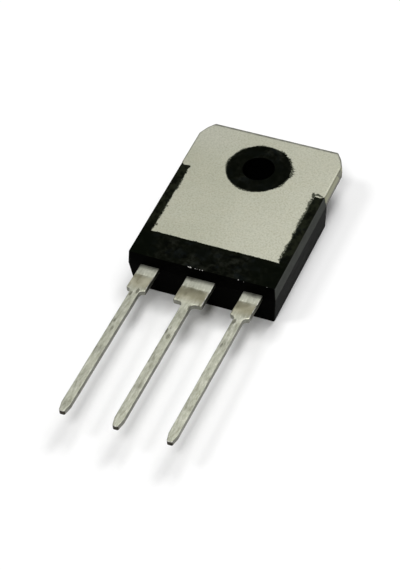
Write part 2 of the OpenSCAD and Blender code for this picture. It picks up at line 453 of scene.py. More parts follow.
def lead_top(y):
    """Height of a lead's upper face along it."""
    pts = [(-14.0, 3.6), (-16.35, 3.6), (-16.9, 3.66), (-17.6, 3.72),
           (-18.3, 3.755), (-19.4, 3.78), (-27.0, 4.0), (-35.4, 4.23)]
    for (y0, z0), (y1, z1) in zip(pts, pts[1:]):
        if y >= y1:
            return z0 + (z1 - z0) * (y - y0) / (y1 - y0)
    return pts[-1][1]


def make_lead(name, half, seed, head=(), y_start=-14.0):
    """One lead about its own centre line, from inside the body to its tip.
    head is the rest of its plan inside the body, from the right to the left."""
    q, r = 0.48, 0.45
    side = [(half, y_start), (half, -18.40), (half - 0.03, -18.47), (half - 0.10, -18.5)]
    if half > 1.1:
        side.append((q + r, -18.5))
    for i in range(1, 9):
        a = math.radians(90 + 90 * i / 8)
        side.append((q + r + r * math.cos(a), -18.95 + r * math.sin(a)))
    side += [(q, -34.30), (0.30, -35.18), (0.26, -35.25), (0.18, -35.299)]
    plan = [(-x, y) for x, y in side] + [(x, y) for x, y in reversed(side)] + list(head)
    bm = bmesh.new()
    lo = [bm.verts.new((x, y, 0.0)) for x, y in plan]
    hi = [bm.verts.new((x, y, 1.0)) for x, y in plan]
    n = len(plan)
    bm.faces.new(list(reversed(lo)))
    bm.faces.new(hi)
    for i in range(n):
        j = (i + 1) % n
        bm.faces.new((lo[i], lo[j], hi[j], hi[i]))
    bmesh.ops.recalc_face_normals(bm, faces=bm.faces)
    used = sorted({round(y, 3) for _, y in plan})
    cuts = [y_start - 0.35 * i for i in range(1, 61)]
    cuts += [-16.35, -16.6, -16.9, -17.25, -17.6, -17.95, -18.3]
    for c in sorted(set(cuts)):
        if c < -35.0 or min(abs(c - u) for u in used) < 0.05:
            continue
        bmesh.ops.bisect_plane(bm, geom=list(bm.verts) + list(bm.edges) + list(bm.faces),
                               plane_co=(0, c, 0), plane_no=(0, 1, 0))
    for v in bm.verts:
        top = lead_top(v.co.y)
        v.co.z = top if v.co.z > 0.5 else top - 0.6
    rim = []
    bm.normal_update()
    for e in bm.edges:
        if len(e.link_faces) != 2:
            continue
        n1, n2 = (f.normal for f in e.link_faces)
        flat = sum(1 for m in (n1, n2) if abs(m.z) > 0.7)
        if flat == 1 and max(v.co.y for v in e.verts) < -14.3:
            rim.append(e)
    bmesh.ops.bevel(bm, geom=rim, offset=0.075, offset_type="OFFSET", segments=3,
                    profile=0.5, affect="EDGES", clamp_overlap=True)
    me = bpy.data.meshes.new(name)
    bm.to_mesh(me)
    bm.free()
    ob = bpy.data.objects.new(name, me)
    scene.collection.objects.link(ob)
    for v in me.vertices:
        p = v.co
        s = seed * 7.3
        if p.y < -15.6:
            g = min(1.0, (-15.6 - p.y) / 1.5)
            p.x += g * 0.012 * noise.noise(Vector((s, p.y * 0.55, 0)))
            p.z += g * 0.012 * noise.noise(Vector((s + 3, p.y * 0.5, 2)))
            p.z += g * 0.006 * noise.noise(Vector((p.x * 1.3 + s, p.y * 1.1, 5)))
            p.x += g * 0.005 * noise.noise(Vector((s + 9, p.y * 2.2, p.z)))
    return ob


def tab_outline(d, rough=0.0, seed=0, far_ratio=1.0):
    far = d * far_ratio
    right = [(6.8, -11.58), (6.8, -1.90), (7.799, -1.90), (7.799, 3.10),
             (7.337, 4.071), (6.699, 4.899)]
    pts = right + [(-x, y) for x, y in reversed(right)]
    free = {2, 3, 4, 5, 6, 7, 8}
    dd = [d if i in free else 0.0 for i in range(len(pts))]
    dd[5] = far
    pts = offset_corners(pts, dd)
    r = [0.05, 0.04, 0.55 - d * 0.5, 0.32, 1.6, 0.28]
    k = [2, 2, 8, 4, 4, 5]
    runs = [1, 1, 30, 6, 6, 60, 6, 6, 30, 1, 1, 1]
    out = rounded(pts, r + list(reversed(r)), k + list(reversed(k)), runs)
    if rough:
        res = []
        for p in out:
            w = rough if (p.y > -1.6) else 0.0
            v = noise.noise(Vector((p.x * 2.1, p.y * 2.1, seed)))
            n_ = Vector((p.x, p.y - 0.0)).normalized()
            res.append(p - n_ * abs(v) * w)
        out = res
    return out


def make_frame():
    """Header, tab and centre lead: one stamped piece."""
    roll = 0.17
    levels = [(HEADER_Z, tab_outline(0.055, 0.02, 1)),
              (HEADER_Z + 0.03, tab_outline(0.030, 0.03, 2)),
              (HEADER_Z + 0.28, tab_outline(0.026, 0.03, 3))]
    base = tab_outline(0.022, 0.03, 4)
    zs = [HEADER_Z + 0.52 + 0.10 * noise.noise(Vector((p.x * 1.4, p.y * 1.4, 8)))
          if p.y > -1.7 else HEADER_Z + 0.52 for p in base]
    levels.append((zs, base))
    base = tab_outline(0.0)
    zs = [z + 0.05 for z in zs]
    levels.append((zs, base))
    for i in range(7):
        a = math.radians(90 * i / 6)
        levels.append((Z_METAL - roll * (1 - math.sin(a)),
                       tab_outline(roll * 1.15 * (1 - math.cos(a)), far_ratio=1.9)))
    ob = loft("tab", levels)
    lock = slab("lock", [(-7.15, -11.93), (7.15, -11.93), (7.15, -1.95), (-7.15, -1.95)],
                HEADER_Z, 4.2)
    ob = join(ob, lock)
    ob = cut(ob, slab("h1", ring_points(2.9, 96), 3.0, 4.3))
    ob = cut(ob, slab("h2", ring_points(3.25, 96), 4.2, 5.2))
    # joggled strip from the header to the centre lead, inside the moulding
    side = [(-14.4, 3.0), (-12.43, 3.0), (-11.93, 3.3), (-11.33, 3.3),
            (-11.93, 3.95), (-12.43, 3.6), (-14.4, 3.6)]
    verts = [(-1.5, y, z) for y, z in side] + [(1.5, y, z) for y, z in side]
    m = len(side)
    faces = [tuple(range(m)), tuple(reversed(range(m, 2 * m)))]
    faces += [(i, i + m, (i + 1) % m + m, (i + 1) % m) for i in range(m)]
    strip = new_obj("strip", verts, faces)
    bm = bmesh.new()
    bm.from_mesh(strip.data)
    bmesh.ops.recalc_face_normals(bm, faces=bm.faces)
    bm.to_mesh(strip.data)
    bm.free()
    ob = join(ob, strip)
    ob = join(ob, make_lead("centre", 1.5, 2))
    return ob


def make_pin(name, sign, seed):
    """An outer lead with its post inside the body."""
    if sign < 0:
        post = [(3.05, -14.0), (3.05, -12.5), (-1.45, -12.5), (-1.45, -14.0)]
    else:
        post = [(1.45, -14.0), (1.45, -12.5), (-1.85, -12.5), (-1.85, -14.0)]
    ob = make_lead(name, 1.0, seed, post)
    ob.data.transform(Matrix.Translation((sign * PITCH, 0, 0)))
    return ob


def hairy(pts, rng, amp, step):
    """A run of points with ragged sideways jitter between them."""
    out = []
    for p, q in zip(pts, pts[1:]):
        p, q = Vector(p), Vector(q)
        side = Vector((-(q - p).y, (q - p).x)).normalized()
        n = max(1, int((q - p).length / step))
        for j in range(n):
            out.append(p.lerp(q, j / n) + side * rng.uniform(-amp, amp))
    out.append(Vector(pts[-1]))
    return out


def bump_at(a, centre, width):
    d = (a - centre + 180) % 360 - 180
    return math.exp(-(d / width) ** 2)


def make_residue():
    """Resin that bled thin over the plating: a comb of hairs around the ring,
    longest on its right side, along both strips and the band, and a curled
    smear by the top of the right strip. Each one is a closed thin sheet."""
    rng = random.Random(5)
    z0, z1 = Z_METAL - 0.002, Z_METAL + 0.006
    sheets = []
    outer = []
    n = 300
    for i in range(n):
        a = 360 * i / n
        reach = (0.10 + 0.46 * bump_at(a, 10, 17) + 0.30 * bump_at(a, 41, 6)
                 + 0.28 * bump_at(a, 64, 6) + 0.30 * bump_at(a, -27, 7)
                 + 0.20 * bump_at(a, 180, 16) + 0.14 * bump_at(a, 140, 12)
                 + 0.12 * bump_at(a, 262, 20) + 0.12 * bump_at(a, 105, 12))
        h = reach * (rng.uniform(0.60, 1.1) if i % 2 else rng.uniform(0.20, 0.70))
        a = math.radians(a + rng.uniform(-0.4, 0.4))
        outer.append(Vector(((3.262 + h) * math.cos(a), (3.262 + h) * math.sin(a))))
    sheets.append((outer, [ring_points(3.17, 96)]))

    def comb(p, q, side, reach, step=0.065):
        p, q, side = Vector(p), Vector(q), Vector(side)
        m = int((q - p).length / step)
        pts = [p - side * 0.07]
        for i in range(m + 1):
            u = i / m
            slow = 0.35 + 1.3 * max(0.0, noise.noise(Vector((p.x, u * (q - p).length * 0.9, 4))) + 0.35)
            h = reach * slow * (rng.uniform(0.5, 1.15) if i % 2 else rng.uniform(0.1, 0.6))
            if i in (0, m):
                h = 0.0
            pts.append(p.lerp(q, u) + side * h)
        pts.append(q - side * 0.07)
        return pts

    sheets.append((comb((6.76, -11.3), (6.76, -2.2), (-1, 0), 0.34), []))
    sheets.append((comb((-6.77, -2.5), (-6.77, -11.3), (1, 0), 0.22), []))
    sheets.append((comb((-6.5, -11.56), (6.5, -11.56), (0, 1), 0.075), []))
    # curled smear above the right strip, and torn patches beside both strips
    curl = [(6.46, -1.86), (6.30, -1.62), (6.36, -1.42), (6.55, -1.38), (6.72, -1.50),
            (6.92, -1.43), (7.20, -1.43), (7.42, -1.50), (7.60, -1.66)]
    back = [(7.52, -1.78), (7.30, -1.72), (7.02, -1.69), (6.82, -1.72), (6.74, -1.84),
            (6.76, -2.10), (6.62, -2.22), (6.52, -2.05)]
    sheets.append((hairy(curl, rng, 0.09, 0.07) + hairy(back, rng, 0.03, 0.08), []))
    for x, y, w in ((6.62, -2.95, 0.22), (6.66, -3.70, 0.20), (6.62, -4.40, 0.13),
                    (6.64, -5.6, 0.17), (6.62, -7.4, 0.15), (6.62, -9.1, 0.16), (6.64, -10.2, 0.13),
                    (-6.64, -4.6, 0.12), (-6.62, -7.9, 0.13), (-6.60, -10.6, 0.16)):
        pts = []
        m = 16
        for i in range(m):
            a = 2 * math.pi * i / m
            r = w * (rng.uniform(0.85, 1.2) if i % 2 else rng.uniform(0.45, 0.8))
            pts.append(Vector((x + r * math.cos(a), y + 1.3 * r * math.sin(a))))
        sheets.append((pts, []))
    me = bpy.data.meshes.new("residue")
    bm = bmesh.new()
    for k, (pts, holes) in enumerate(sheets):
        area = sum(pts[i - 1].x * pts[i].y - pts[i - 1].y * pts[i].x for i in range(len(pts)))
        if area < 0:
            pts = list(reversed(pts))
        # a hair's breadth apart in height, so no two tops share a plane
        ob = slab("flake", pts, z0, z1 - 0.0003 * k, holes)
        bm.from_mesh(ob.data)
        drop(ob)
    bm.to_mesh(me)
    bm.free()
    ob = bpy.data.objects.new("flash_residue", me)
    scene.collection.objects.link(ob)
    return ob


def make_chips():
    """Broken crumbs of resin on the edge above the leads."""
    rng = random.Random(21)
    me = bpy.data.meshes.new("chips")
    bm = bmesh.new()
    for x, y, z, lx, ly, lz in ((-1.32, -14.900, 4.765, 0.20, 0.15, 0.12),
                                (-1.12, -14.905, 4.770, 0.30, 0.17, 0.12),
                                (-0.62, -14.905, 4.765, 0.12, 0.13, 0.10),
                                (-0.40, -14.905, 4.765, 0.09, 0.12, 0.09),
                                (-0.14, -14.910, 4.760, 0.10, 0.12, 0.10),
                                (0.14, -14.900, 4.765, 0.12, 0.14, 0.11),
                                (3.92, -14.905, 4.765, 0.15, 0.15, 0.12),
                                (4.50, -14.920, 4.700, 0.06, 0.07, 0.06),
                                (6.88, -14.900, 4.760, 0.10, 0.07, 0.06)):
        part = bmesh.new()
        for _ in range(14):
            v = Vector([rng.uniform(-1, 1) for _ in range(3)]).normalized() * rng.uniform(0.7, 1)
            part.verts.new((x + v.x * lx / 2, y + v.y * ly / 2,
                            min(z + v.z * lz / 2, Z_TOP - 0.002)))
        hull = bmesh.ops.convex_hull(part, input=part.verts)
        loose = [g for g in hull["geom_interior"] + hull["geom_unused"]
                 if isinstance(g, bmesh.types.BMVert)]
        bmesh.ops.delete(part, geom=list(set(loose)), context="VERTS")
        tmp = bpy.data.meshes.new("t")
        part.to_mesh(tmp)
        part.free()
        bm.from_mesh(tmp)
        bpy.data.meshes.remove(tmp)
    bm.to_mesh(me)
    bm.free()
    ob = bpy.data.objects.new("edge_chips", me)
    scene.collection.objects.link(ob)
    return ob


# --------------------------------------------------------------- materials

class Tree:
    """A small helper for writing shader trees."""

    def __init__(self, name):
        self.mat = bpy.data.materials.new(name)
        self.mat.use_nodes = True
        self.nt = self.mat.node_tree
        self.nt.nodes.clear()
        self.out = self.nt.nodes.new("ShaderNodeOutputMaterial")
        self.bsdf = self.nt.nodes.new("ShaderNodeBsdfPrincipled")
        self.nt.links.new(self.bsdf.outputs[0], self.out.inputs[0])
        self.coord = self.nt.nodes.new("ShaderNodeTexCoord")
        self.obj = self.coord.outputs["Object"]

    def put(self, socket, value):
        if isinstance(value, bpy.types.NodeSocket):
            self.nt.links.new(value, socket)
        elif isinstance(value, tuple) and len(value) == 3 and socket.type == "RGBA":
            socket.default_value = (*value, 1.0)
        else:
            socket.default_value = value

    def map(self, scale=(1, 1, 1), rot=(0, 0, 0), loc=(0, 0, 0)):
        """Object coordinates in millimetres, then scaled and turned."""
        m = self.nt.nodes.new("ShaderNodeMapping")
        self.nt.links.new(self.obj, m.inputs["Vector"])
        m.inputs["Scale"].default_value = [1000.0 * s for s in scale]
        m.inputs["Rotation"].default_value = rot
        m.inputs["Location"].default_value = loc
        return m.outputs[0]

    def noise(self, vec, scale, detail=4.0, rough=0.55, distort=0.0):
        n = self.nt.nodes.new("ShaderNodeTexNoise")
        self.put(n.inputs["Vector"], vec)
        n.inputs["Scale"].default_value = scale
        n.inputs["Detail"].default_value = detail
        n.inputs["Roughness"].default_value = rough
        n.inputs["Distortion"].default_value = distort
        return n.outputs["Fac"]

    def voronoi(self, vec, scale, feature="F1"):
        n = self.nt.nodes.new("ShaderNodeTexVoronoi")
        n.feature = feature
        self.put(n.inputs["Vector"], vec)
        n.inputs["Scale"].default_value = scale
        return n.outputs["Distance"]

    def ramp(self, fac, stops):
        n = self.nt.nodes.new("ShaderNodeValToRGB")
        self.put(n.inputs[0], fac)
        el = n.color_ramp.elements
        while len(el) < len(stops):
            el.new(0.5)
        for e, (pos, col) in zip(el, stops):
            e.position = pos
            e.color = (*col, 1.0) if isinstance(col, tuple) else (col, col, col, 1.0)
        return n.outputs[0]

    def mix(self, fac, a, b, mode="MIX"):
        n = self.nt.nodes.new("ShaderNodeMix")
        n.data_type = "RGBA"
        n.blend_type = mode
        self.put(n.inputs[0], fac)
        self.put(n.inputs[6], a)
        self.put(n.inputs[7], b)
        return n.outputs[2]

    def math(self, op, a, b=0.0, clamp=False):
        n = self.nt.nodes.new("ShaderNodeMath")
        n.operation = op
        n.use_clamp = clamp
        self.put(n.inputs[0], a)
        self.put(n.inputs[1], b)
        return n.outputs[0]

    def span(self, value, a, b, c=0.0, d=1.0):
        """Value from a..b carried to c..d, clamped."""
        n = self.nt.nodes.new("ShaderNodeMapRange")
        n.interpolation_type = "SMOOTHSTEP"
        self.put(n.inputs["Value"], value)
        n.inputs["From Min"].default_value = a
        n.inputs["From Max"].default_value = b
        n.inputs["To Min"].default_value = c
        n.inputs["To Max"].default_value = d
        return n.outputs[0]

    def axis(self, i):
        """One object coordinate in millimetres."""
        s = self.nt.nodes.new("ShaderNodeSeparateXYZ")
        self.put(s.inputs[0], self.map())
        return s.outputs[i]

    def bump(self, height, strength, distance, normal=None):
        n = self.nt.nodes.new("ShaderNodeBump")
        self.put(n.inputs["Height"], height)
        n.inputs["Strength"].default_value = strength
        n.inputs["Distance"].default_value = distance * MM
        if normal is not None:
            self.put(n.inputs["Normal"], normal)
        return n.outputs[0]

    def done(self, color, rough, normal=None, metallic=0.0, spec=0.5, **more):
        b = self.bsdf.inputs
        self.put(b["Base Color"], color)
        self.put(b["Roughness"], rough)
        b["Metallic"].default_value = metallic
        b["Specular IOR Level"].default_value = spec
        if normal is not None:
            self.put(b["Normal"], normal)
        for k, v in more.items():
            b[k.replace("_", " ")].default_value = v
        return self.mat


def mat_epoxy_top():
    """Black moulding compound on the metal side: mottled, olive by the metal."""
    t = Tree("epoxy_top")
    big = t.noise(t.map(loc=(2, 0, 0)), 0.33, 3, 0.6)
    mid = t.noise(t.map(loc=(5, 2, 1)), 1.5, 6, 0.68, 0.5)
    blue = t.noise(t.map(loc=(9, 4, 1)), 0.8, 4, 0.6)
    fine = t.noise(t.map(), 14.0, 3, 0.6)
    base = t.ramp(mid, [(0.38, (0.0002, 0.0005, 0.0001)),
                        (0.49, (0.0028, 0.0033, 0.0016)),
                        (0.62, (0.0100, 0.0110, 0.0080))])
    base = t.mix(t.span(blue, 0.50, 0.62, 0.0, 0.60), base, (0.0038, 0.0054, 0.0058))
    base = t.mix(t.span(big, 0.55, 0.40, 0.0, 0.80), base, (0.0008, 0.0013, 0.0003))
    ends = t.math("MULTIPLY", t.span(t.math("ABSOLUTE", t.axis(0)), 3.4, 6.6),
                  t.span(t.axis(1), -11.6, -12.4))
    base = t.mix(t.math("MULTIPLY", ends, 0.85), base, (0.0006, 0.0013, 0.0001))
    strips = t.math("MULTIPLY", t.span(t.math("ABSOLUTE", t.axis(0)), 6.6, 6.9),
                    t.span(t.axis(1), -11.3, -10.3))
    base = t.mix(t.math("MULTIPLY", strips, t.span(mid, 0.42, 0.58, 0.1, 0.8)), base,
                 (0.0100, 0.0118, 0.0062))
    # film that ran over the edge of the metal is thinner and greener
    edge = t.span(t.math("ABSOLUTE", t.math("ADD", t.axis(1), 11.62)), 0.16, 0.34, 1, 0)
    base = t.mix(t.math("MULTIPLY", edge, 0.65), base, (0.0016, 0.0022, 0.0004))
    h = t.math("ADD", t.math("MULTIPLY", mid, 0.9), t.math("MULTIPLY", fine, 0.35))
    return t.done(base, t.span(mid, 0.25, 0.75, 0.46, 0.62),
                  t.bump(h, 0.7, 0.035), IOR=1.075)


def mat_epoxy_side():
    """Moulded sides, painted paler than the top as a painted reflection of the floor: the half by the
    metal face is painted palest as painted reflection, the half by the floor darker as painted shade.
    """
    t = Tree("epoxy_side")
    z = t.axis(2)
    mid = t.noise(t.map(scale=(1, 0.55, 1)), 1.5, 5, 0.62, 0.2)
    long_ = t.noise(t.map(scale=(1, 0.15, 1), loc=(3, 3, 0)), 1.2, 3, 0.5)
    fine = t.noise(t.map(), 16.0, 3, 0.6)
    # painted reflection above the parting line, painted shade below it
    upper = t.span(t.math("ADD", z, t.math("MULTIPLY", t.math("SUBTRACT", mid, 0.5), 0.08)),
                   3.36, 3.44)
    pale = t.ramp(mid, [(0.3, (0.043, 0.046, 0.041)), (0.7, (0.068, 0.072, 0.065))])
    deep = t.ramp(mid, [(0.3, (0.0036, 0.0041, 0.0034)), (0.7, (0.0125, 0.0132, 0.0116))])
    # painted shade: darker towards the floor
    deep = t.mix(t.span(z, 0.9, 0.1, 0.0, 0.6), deep, (0.0050, 0.0052, 0.0046))
    deep = t.mix(t.span(long_, 0.45, 0.7, 0.0, 0.5), deep, (0.0210, 0.0215, 0.0195))
    base = t.mix(upper, deep, pale)
    h = t.math("ADD", t.math("MULTIPLY", mid, 0.3), t.math("MULTIPLY", fine, 0.5))
    return t.done(base, t.span(mid, 0.25, 0.75, 0.46, 0.60),
                  t.bump(h, 0.40, 0.018), IOR=1.06)


def mat_epoxy_end():
    t = Tree("epoxy_end")
    mid = t.noise(t.map(loc=(1, 4, 7)), 1.6, 5, 0.6, 0.2)
    fine = t.noise(t.map(), 16.0, 3, 0.6)
    # painted shade: a near-black copy of the moulding for the end face and the bore wall, which get
    # little light
    base = t.ramp(mid, [(0.3, (0.0002, 0.0002, 0.0001)), (0.7, (0.0012, 0.0012, 0.0009))])
    h = t.math("ADD", t.math("MULTIPLY", mid, 0.3), t.math("MULTIPLY", fine, 0.5))
    return t.done(base, t.span(mid, 0.25, 0.75, 0.40, 0.52),
                  t.bump(h, 0.40, 0.018), IOR=1.05)


def mat_epoxy_front():
    """Moulded front face: even, finely spark-eroded grain."""
    t = Tree("epoxy_front")
    big = t.noise(t.map(loc=(6, 1, 3)), 0.25, 3, 0.5)
    fine = t.noise(t.map(), 12.0, 4, 0.65)
    base = t.ramp(fine, [(0.3, (0.0070, 0.0073, 0.0066)), (0.7, (0.0135, 0.0139, 0.0127))])
    base = t.mix(t.span(big, 0.4, 0.65, 0.0, 0.35), base, (0.0160, 0.0163, 0.0150))
    return t.done(base, t.span(fine, 0.25, 0.75, 0.50, 0.64),
                  t.bump(fine, 0.45, 0.020), IOR=1.30)


def mat_plating():
    """Matte nickel on the metal face: fine grain, soft cloudy tint."""
    t = Tree("plating_face")
    cloud = t.noise(t.map(), 0.16, 4, 0.55, 0.3)
    blot = t.noise(t.map(loc=(3, 1, 0)), 0.8, 5, 0.6)
    grain = t.noise(t.map(), 5.2, 3, 0.70)
    fine = t.noise(t.map(loc=(7, 7, 7)), 9.0, 3, 0.7)
    base = t.mix(t.span(cloud, 0.35, 0.65), (0.405, 0.410, 0.318), (0.450, 0.454, 0.364))
    base = t.mix(t.span(t.axis(0), -7.0, 7.5, 0.0, 0.50), base, (0.510, 0.510, 0.424))
    base = t.mix(t.span(blot, 0.42, 0.66, 0.0, 0.45), base, (0.455, 0.448, 0.350))
    corner = t.math("MULTIPLY", t.span(t.axis(0), -0.5, -6.0), t.span(t.axis(1), -1.0, 3.0))
    base = t.mix(t.math("MULTIPLY", corner, 0.55), base, (0.520, 0.520, 0.450))
    base = t.mix(t.span(grain, 0.40, 0.66, 0.0, 0.50), base, (0.315, 0.317, 0.255))
    base = t.mix(t.span(fine, 0.46, 0.70, 0.0, 0.45), base, (0.540, 0.540, 0.470))
    h = t.math("ADD", t.math("MULTIPLY", grain, 0.6), t.math("MULTIPLY", fine, 0.5))
    return t.done(base, t.span(grain, 0.3, 0.7, 0.46, 0.60),
                  t.bump(h, 0.5, 0.022), metallic=1.0)


def mat_plating_edge():
    """Sheared edge of the tab: burnished above, torn and duller below."""
    t = Tree("plating_edge")
    z = t.axis(2)
    wob = t.math("MULTIPLY", t.math("SUBTRACT", t.noise(t.map(), 1.1, 3), 0.5), 0.30)
    up = t.span(t.math("ADD", z, wob), 3.72, 3.92)
    lines = t.noise(t.map(scale=(1.5, 1.5, 0.12)), 6.0, 3, 0.6)
    torn = t.noise(t.map(scale=(1, 1, 0.45)), 9.0, 4, 0.7)
    low = t.ramp(torn, [(0.3, (0.150, 0.148, 0.125)), (0.7, (0.260, 0.256, 0.225))])
    high = t.ramp(lines, [(0.3, (0.235, 0.238, 0.145)), (0.7, (0.300, 0.302, 0.200))])
    base = t.mix(up, low, high)
    base = t.mix(t.span(z, 3.50, 3.36, 0.0, 0.7), base, (0.12, 0.115, 0.10))
    # painted shade: a dark patch where the side turns into the cut corner, standing in for a darker
    # facet
    y = t.math("ADD", t.axis(1), t.math("MULTIPLY", t.math("SUBTRACT", z, 4.05), 0.55))
    patch = t.math("MULTIPLY", t.span(y, 2.05, 2.20), t.span(y, 3.10, 2.95))
    bars = t.noise(t.map(scale=(1, 2.2, 0.35), loc=(0, 3.1, 0)), 1.5, 3, 0.55)
    patch = t.math("MULTIPLY", patch, t.span(z, 3.36, 3.50))
    base = t.mix(t.math("MULTIPLY", patch, t.span(bars, 0.62, 0.44, 0.25, 0.9)), base,
                 (0.050, 0.052, 0.038))
    rough = t.math("ADD", t.span(up, 0, 1, 0.58, 0.40), t.math("MULTIPLY", torn, 0.08))
    h = t.mix(up, torn, t.math("MULTIPLY", lines, 0.25))
    return t.done(base, rough, t.bump(h, 0.5, 0.03), metallic=1.0)


def mat_plating_rim():
    """Rolled rim of the stamping, painted darker than the face: painted shade along the far rolled
    edge.
    """
    t = Tree("plating_rim")
    n1 = t.noise(t.map(), 2.6, 5, 0.65)
    n2 = t.noise(t.map(), 9.0, 3, 0.6)
    base = t.ramp(n1, [(0.32, (0.215, 0.218, 0.178)), (0.70, (0.420, 0.424, 0.360))])
    h = t.math("ADD", t.math("MULTIPLY", n1, 0.5), t.math("MULTIPLY", n2, 0.5))
    return t.done(base, t.span(n2, 0.3, 0.7, 0.46, 0.60), t.bump(h, 0.4, 0.02), metallic=1.0)


def mat_tin():
    """Dipped tin: streaks along the lead, a brown painted reflection on the bent
    part, painted shade where it leaves the body, and a few dark specks near the neck."""
    t = Tree("lead_tin")
    y = t.axis(1)
    patch = t.noise(t.map(loc=(1, 5, 0)), 0.7, 4, 0.55, 0.4)
    mott = t.noise(t.map(scale=(1, 0.24, 1)), 4.4, 4, 0.66)
    fine = t.noise(t.map(scale=(1, 0.6, 1)), 11.0, 3, 0.6)
    base = t.ramp(mott, [(0.34, (0.300, 0.305, 0.238)), (0.46, (0.425, 0.432, 0.346)),
                         (0.55, (0.490, 0.496, 0.408)), (0.68, (0.630, 0.632, 0.550))])
    base = t.mix(t.span(fine, 0.46, 0.66, 0.0, 0.35), base, (0.330, 0.334, 0.265))
    base = t.mix(t.span(patch, 0.45, 0.68, 0.0, 0.40), base, (0.455, 0.458, 0.385))
    yy = t.math("ADD", y, t.math("MULTIPLY", t.math("SUBTRACT", patch, 0.5), 0.5))
    # painted shade: darker where the lead leaves the body
    base = t.mix(t.span(y, -16.35, -15.95, 0.0, 0.50), base, (0.345, 0.350, 0.300))
    # painted reflection: a brown tone on the bent part
    brown = t.math("MULTIPLY", t.span(yy, -16.72, -16.26, 1, 0), t.span(yy, -18.8, -17.5, 0, 1))
    painted_reflection_brown = t.mix(t.span(patch, 0.40, 0.62), (0.385, 0.362, 0.245), (0.480, 0.460, 0.345))
    base = t.mix(t.math("MULTIPLY", brown, 0.85), base, painted_reflection_brown)
    spots = t.voronoi(t.map(scale=(1, 0.40, 1), loc=(0.35, 0.4, 0)), 1.35)
    near = t.math("MULTIPLY", t.span(y, -31.0, -18.6, 0.20, 1), t.span(y, -17.8, -18.6, 0.35, 1))
    speck = t.math("MULTIPLY", t.span(t.math("ADD", spots, t.math("MULTIPLY", fine, 0.30)),
                                      0.40, 0.31, 0, 1), near)
    base = t.mix(t.math("MULTIPLY", speck, 0.80), base, (0.115, 0.112, 0.084))
    h = t.math("ADD", t.math("MULTIPLY", mott, 0.8), t.math("MULTIPLY", fine, 0.25))
    return t.done(base, t.span(patch, 0.3, 0.7, 0.36, 0.50),
                  t.bump(h, 0.50, 0.030), metallic=1.0)


def mat_tin_side():
    """Sheared sides of the leads: duller, and painted darker as painted shade, darkest on the wide
    part.
    """
    t = Tree("lead_side")
    y, z = t.axis(1), t.axis(2)
    n1 = t.noise(t.map(scale=(1, 0.4, 1)), 2.6, 4, 0.65)
    n2 = t.noise(t.map(scale=(1, 1, 0.4)), 9.0, 3, 0.6)
    base = t.ramp(n1, [(0.34, (0.150, 0.152, 0.125)), (0.66, (0.270, 0.272, 0.235))])
    # painted shade: darkest on the wide part by the body
    wide = t.span(y, -18.4, -17.9, 0, 1)
    dark = t.ramp(n1, [(0.36, (0.016, 0.017, 0.009)), (0.64, (0.085, 0.084, 0.056))])
    base = t.mix(t.math("MULTIPLY", wide, 0.85), base, dark)
    base = t.mix(t.span(n2, 0.50, 0.70, 0.0, 0.35), base, (0.30, 0.30, 0.26))
    return t.done(base, t.span(n2, 0.3, 0.7, 0.42, 0.58), t.bump(n2, 0.45, 0.025), metallic=1.0)


def mat_cut():
    """Sheared ends of the leads: dark bare copper alloy under a lip painted bright as a painted
    highlight.
    """
    t = Tree("lead_end")
    n1 = t.noise(t.map(), 6.0, 4, 0.65)
    base = t.ramp(n1, [(0.36, (0.010, 0.009, 0.006)), (0.62, (0.060, 0.054, 0.040))])
    return t.done(base, t.span(n1, 0.3, 0.7, 0.40, 0.60), t.bump(n1, 0.5, 0.03), metallic=1.0)


def mat_burr_highlight():
    """Turned-over edge left by the punch and the rounded lip at the tips, painted bright: a painted
    highlight where these edges catch the light.
    """
    t = Tree("lead_burr_highlight")
    n1 = t.noise(t.map(scale=(1, 0.5, 1)), 5.0, 4, 0.65)
    base = t.ramp(n1, [(0.38, (0.30, 0.30, 0.24)), (0.52, (0.66, 0.66, 0.60)),
                       (0.64, (0.88, 0.88, 0.84))])
    return t.done(base, t.span(n1, 0.3, 0.7, 0.26, 0.42), t.bump(n1, 0.5, 0.02), metallic=1.0)


def mat_flash():
    """Resin smeared thin on the plating: grey where the metal shows through."""
    t = Tree("flash_residue")
    thin = t.noise(t.map(loc=(4, 2, 0)), 5.5, 4, 0.7)
    base = t.ramp(thin, [(0.34, (0.014, 0.016, 0.009)), (0.50, (0.046, 0.050, 0.034)),
                         (0.64, (0.150, 0.154, 0.115))])
    return t.done(base, t.span(thin, 0.3, 0.7, 0.45, 0.65),
                  t.bump(thin, 0.5, 0.015), spec=0.12)


def mat_chip():
    """Broken resin where the flash was knocked off the edge."""
    t = Tree("broken_resin")
    n1 = t.noise(t.map(), 7.0, 4, 0.7)
    base = t.ramp(n1, [(0.38, (0.16, 0.155, 0.14)), (0.58, (0.62, 0.61, 0.57))])
    return t.done(base, t.span(n1, 0.3, 0.7, 0.40, 0.60), t.bump(n1, 0.6, 0.03), spec=0.3)


def mat_solder():
    t = Tree("solder_layer")
    n1 = t.noise(t.map(), 2.4, 5, 0.6)
    base = t.ramp(n1, [(0.3, (0.42, 0.42, 0.43)), (0.7, (0.60, 0.60, 0.61))])
    return t.done(base, t.span(n1, 0.3, 0.7, 0.28, 0.42), t.bump(n1, 0.3, 0.02), metallic=1.0)


